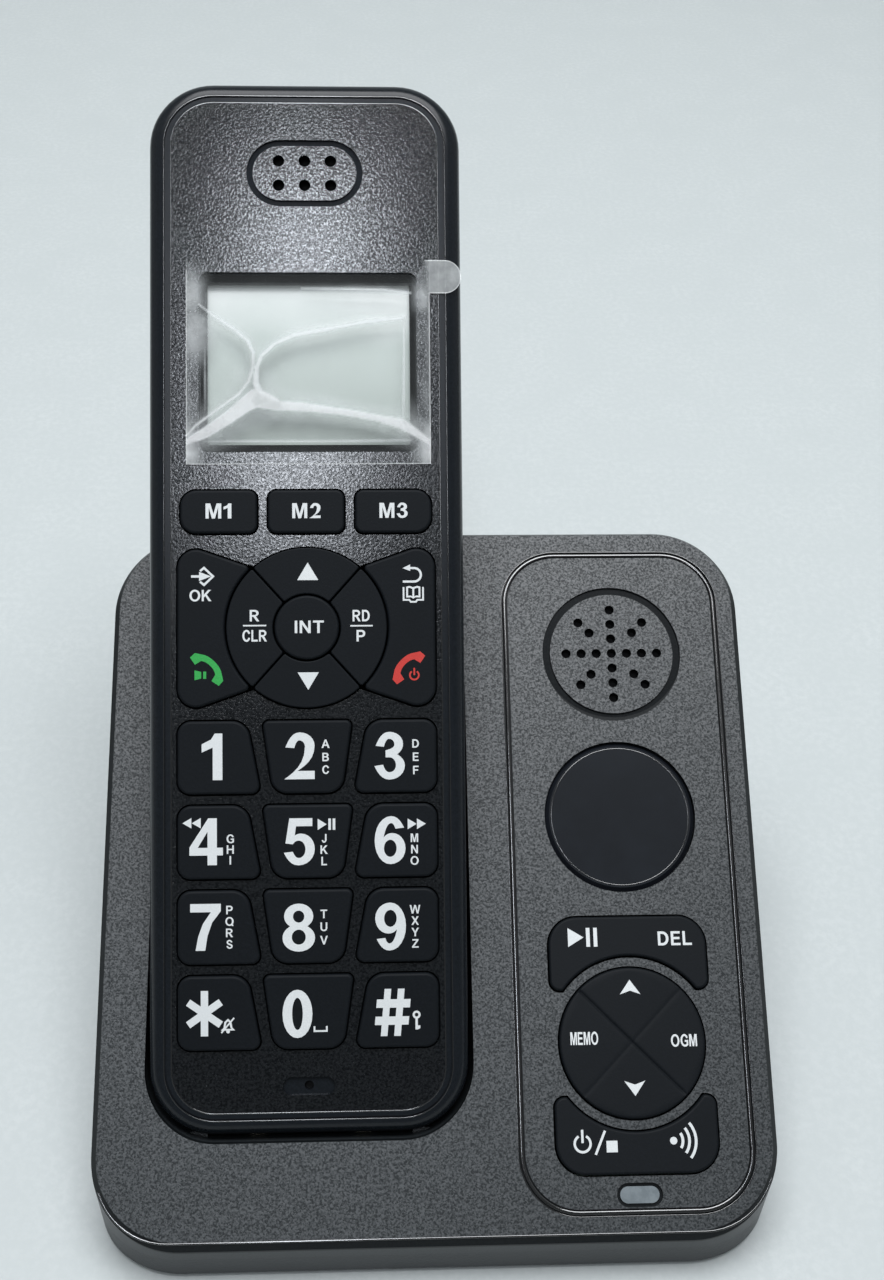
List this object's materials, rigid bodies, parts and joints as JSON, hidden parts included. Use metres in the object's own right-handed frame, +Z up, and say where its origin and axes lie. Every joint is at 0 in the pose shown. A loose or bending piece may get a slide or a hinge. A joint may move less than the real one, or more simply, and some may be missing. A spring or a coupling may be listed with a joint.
{
  "type": "answering machine",
  "caption": "Cordless telephone handset standing in a wedge-shaped answering machine base with loudspeaker, round display window and message keys.",
  "frame": {"origin": "centre of the base's footprint, on the desk that its rubber feet stand on", "axes": "+Z up, +Y from the low front edge to the back wall, +X to the right when facing the keys"},
  "size_m": [0.103, 0.1429, 0.1268],
  "materials": {
    "base_shell": "fine spark-eroded texture, dark grey",
    "bottom_shell": "smooth satin, near black",
    "handset_shell": "fine spark-eroded texture with a satin rim, dark grey",
    "handset_key": "matt silicone, blue-black, with white print",
    "base_key": "satin, blue-black, with white print",
    "key_rubber": "plain grey silicone",
    "foot_rubber": "plain black",
    "dark_lens": "polished smoked acrylic",
    "display": "unlit display",
    "light_lens": "milky acrylic",
    "clear_lens": "clear acrylic with a black printed border",
    "film": "thin clear protective film",
    "lcd_glass": "pale grey-green, unlit",
    "circuit_board": "green solder mask",
    "speaker_cone": "black cone and basket",
    "metal_can": "plated can",
    "steel": "zinc plated",
    "contact_metal": "nickel plated spring strip",
    "socket_plastic": "black",
    "battery_wrap": "shrink sleeve"
  },
  "bodies": {
    "base": {"base_top_cover": "base_shell", "base_bottom_cover": "bottom_shell", "rubber_feet": "foot_rubber", "base_screws": "steel", "base_circuit_board": "circuit_board", "base_key_membrane": "key_rubber", "base_loudspeaker": "speaker_cone", "base_microphone": "metal_can", "display_lens": "dark_lens", "display_module": "display", "light_pipe": "light_lens", "power_jack": "socket_plastic", "line_jack": "socket_plastic", "cradle_contacts": "contact_metal"},
    "handset": {"handset_front_cover": "handset_shell", "handset_rear_cover": "handset_shell", "handset_screws": "steel", "handset_circuit_board": "circuit_board", "keypad_membrane": "key_rubber", "earpiece_speaker": "metal_can", "handset_microphone": "metal_can", "handset_ringer": "speaker_cone", "lcd_module": "lcd_glass", "screen_lens": "clear_lens", "screen_film": "film", "batteries": "battery_wrap", "battery_contacts": "contact_metal", "charging_plates": "contact_metal"},
    "battery_door": {"battery_door": "handset_shell"},
    "scroll_pivot": {"scroll_pivot": "key_rubber"},
    "scroll_disc": {"scroll_disc": "base_key"},
    "key_1": {"key_1": "handset_key"},
    "key_2": {"key_2": "handset_key"},
    "key_3": {"key_3": "handset_key"},
    "key_4": {"key_4": "handset_key"},
    "key_5": {"key_5": "handset_key"},
    "key_6": {"key_6": "handset_key"},
    "key_7": {"key_7": "handset_key"},
    "key_8": {"key_8": "handset_key"},
    "key_9": {"key_9": "handset_key"},
    "key_star": {"key_star": "handset_key"},
    "key_0": {"key_0": "handset_key"},
    "key_hash": {"key_hash": "handset_key"},
    "memory_key_1": {"memory_key_1": "handset_key"},
    "memory_key_2": {"memory_key_2": "handset_key"},
    "memory_key_3": {"memory_key_3": "handset_key"},
    "intercom_key": {"intercom_key": "handset_key"},
    "up_key": {"up_key": "handset_key"},
    "down_key": {"down_key": "handset_key"},
    "clear_key": {"clear_key": "handset_key"},
    "redial_key": {"redial_key": "handset_key"},
    "talk_ok_key": {"talk_ok_key": "handset_key"},
    "end_book_key": {"end_book_key": "handset_key"},
    "play_delete_key": {"play_delete_key": "base_key"},
    "stop_page_key": {"stop_page_key": "base_key"}
  },
  "joints": [
    {"name": "handset_lift", "type": "slide", "parent": "base", "child": "handset", "axis": [0, 0.723, 0.6909], "range_m": [0, 0.12]},
    {"name": "battery_door_pull", "type": "slide", "parent": "handset", "child": "battery_door", "axis": [0, 0.6909, -0.723], "range_m": [0, 0.01]},
    {"name": "key_1_press", "type": "slide", "parent": "handset", "child": "key_1", "axis": [0, 0.6909, -0.723], "range_m": [0, 0.0008], "stiffness_N_per_m": 1500},
    {"name": "key_2_press", "type": "slide", "parent": "handset", "child": "key_2", "axis": [0, 0.6909, -0.723], "range_m": [0, 0.0008], "stiffness_N_per_m": 1500},
    {"name": "key_3_press", "type": "slide", "parent": "handset", "child": "key_3", "axis": [0, 0.6909, -0.723], "range_m": [0, 0.0008], "stiffness_N_per_m": 1500},
    {"name": "key_4_press", "type": "slide", "parent": "handset", "child": "key_4", "axis": [0, 0.6909, -0.723], "range_m": [0, 0.0008], "stiffness_N_per_m": 1500},
    {"name": "key_5_press", "type": "slide", "parent": "handset", "child": "key_5", "axis": [0, 0.6909, -0.723], "range_m": [0, 0.0008], "stiffness_N_per_m": 1500},
    {"name": "key_6_press", "type": "slide", "parent": "handset", "child": "key_6", "axis": [0, 0.6909, -0.723], "range_m": [0, 0.0008], "stiffness_N_per_m": 1500},
    {"name": "key_7_press", "type": "slide", "parent": "handset", "child": "key_7", "axis": [0, 0.6909, -0.723], "range_m": [0, 0.0008], "stiffness_N_per_m": 1500},
    {"name": "key_8_press", "type": "slide", "parent": "handset", "child": "key_8", "axis": [0, 0.6909, -0.723], "range_m": [0, 0.0008], "stiffness_N_per_m": 1500},
    {"name": "key_9_press", "type": "slide", "parent": "handset", "child": "key_9", "axis": [0, 0.6909, -0.723], "range_m": [0, 0.0008], "stiffness_N_per_m": 1500},
    {"name": "key_star_press", "type": "slide", "parent": "handset", "child": "key_star", "axis": [0, 0.6909, -0.723], "range_m": [0, 0.0008], "stiffness_N_per_m": 1500},
    {"name": "key_0_press", "type": "slide", "parent": "handset", "child": "key_0", "axis": [0, 0.6909, -0.723], "range_m": [0, 0.0008], "stiffness_N_per_m": 1500},
    {"name": "key_hash_press", "type": "slide", "parent": "handset", "child": "key_hash", "axis": [0, 0.6909, -0.723], "range_m": [0, 0.0008], "stiffness_N_per_m": 1500},
    {"name": "memory_key_1_press", "type": "slide", "parent": "handset", "child": "memory_key_1", "axis": [0, 0.6909, -0.723], "range_m": [0, 0.0008], "stiffness_N_per_m": 1500},
    {"name": "memory_key_2_press", "type": "slide", "parent": "handset", "child": "memory_key_2", "axis": [0, 0.6909, -0.723], "range_m": [0, 0.0008], "stiffness_N_per_m": 1500},
    {"name": "memory_key_3_press", "type": "slide", "parent": "handset", "child": "memory_key_3", "axis": [0, 0.6909, -0.723], "range_m": [0, 0.0008], "stiffness_N_per_m": 1500},
    {"name": "intercom_key_press", "type": "slide", "parent": "handset", "child": "intercom_key", "axis": [0, 0.6909, -0.723], "range_m": [0, 0.0008], "stiffness_N_per_m": 1500},
    {"name": "up_key_press", "type": "slide", "parent": "handset", "child": "up_key", "axis": [0, 0.6909, -0.723], "range_m": [0, 0.0008], "stiffness_N_per_m": 1500},
    {"name": "down_key_press", "type": "slide", "parent": "handset", "child": "down_key", "axis": [0, 0.6909, -0.723], "range_m": [0, 0.0008], "stiffness_N_per_m": 1500},
    {"name": "clear_key_press", "type": "slide", "parent": "handset", "child": "clear_key", "axis": [0, 0.6909, -0.723], "range_m": [0, 0.0008], "stiffness_N_per_m": 1500},
    {"name": "redial_key_press", "type": "slide", "parent": "handset", "child": "redial_key", "axis": [0, 0.6909, -0.723], "range_m": [0, 0.0008], "stiffness_N_per_m": 1500},
    {"name": "talk_ok_key_rock", "type": "hinge", "parent": "handset", "child": "talk_ok_key", "pos_m": [-0.0327, 0.02247, 0.06667], "axis": [1, 0, 0], "range_deg": [-2, 2], "stiffness_Nm_per_rad": 0.3},
    {"name": "end_book_key_rock", "type": "hinge", "parent": "handset", "child": "end_book_key", "pos_m": [-0.0055, 0.02247, 0.06667], "axis": [1, 0, 0], "range_deg": [-2, 2], "stiffness_Nm_per_rad": 0.3},
    {"name": "play_delete_key_rock", "type": "hinge", "parent": "base", "child": "play_delete_key", "pos_m": [0.0301, -0.01037, 0.0262], "axis": [0, 0.866, 0.5], "range_deg": [-2, 2], "stiffness_Nm_per_rad": 0.3},
    {"name": "stop_page_key_rock", "type": "hinge", "parent": "base", "child": "stop_page_key", "pos_m": [0.0301, -0.03366, 0.01275], "axis": [0, 0.866, 0.5], "range_deg": [-2, 2], "stiffness_Nm_per_rad": 0.3},
    {"name": "scroll_tilt_up_down", "type": "hinge", "parent": "base", "child": "scroll_pivot", "pos_m": [0.0301, -0.02202, 0.01948], "axis": [1, 0, 0], "range_deg": [-1.8, 1.8], "stiffness_Nm_per_rad": 0.3},
    {"name": "scroll_tilt_left_right", "type": "hinge", "parent": "scroll_pivot", "child": "scroll_disc", "pos_m": [0.0301, -0.02202, 0.01948], "axis": [0, 0.866, 0.5], "range_deg": [-1.8, 1.8], "stiffness_Nm_per_rad": 0.3}
  ]
}
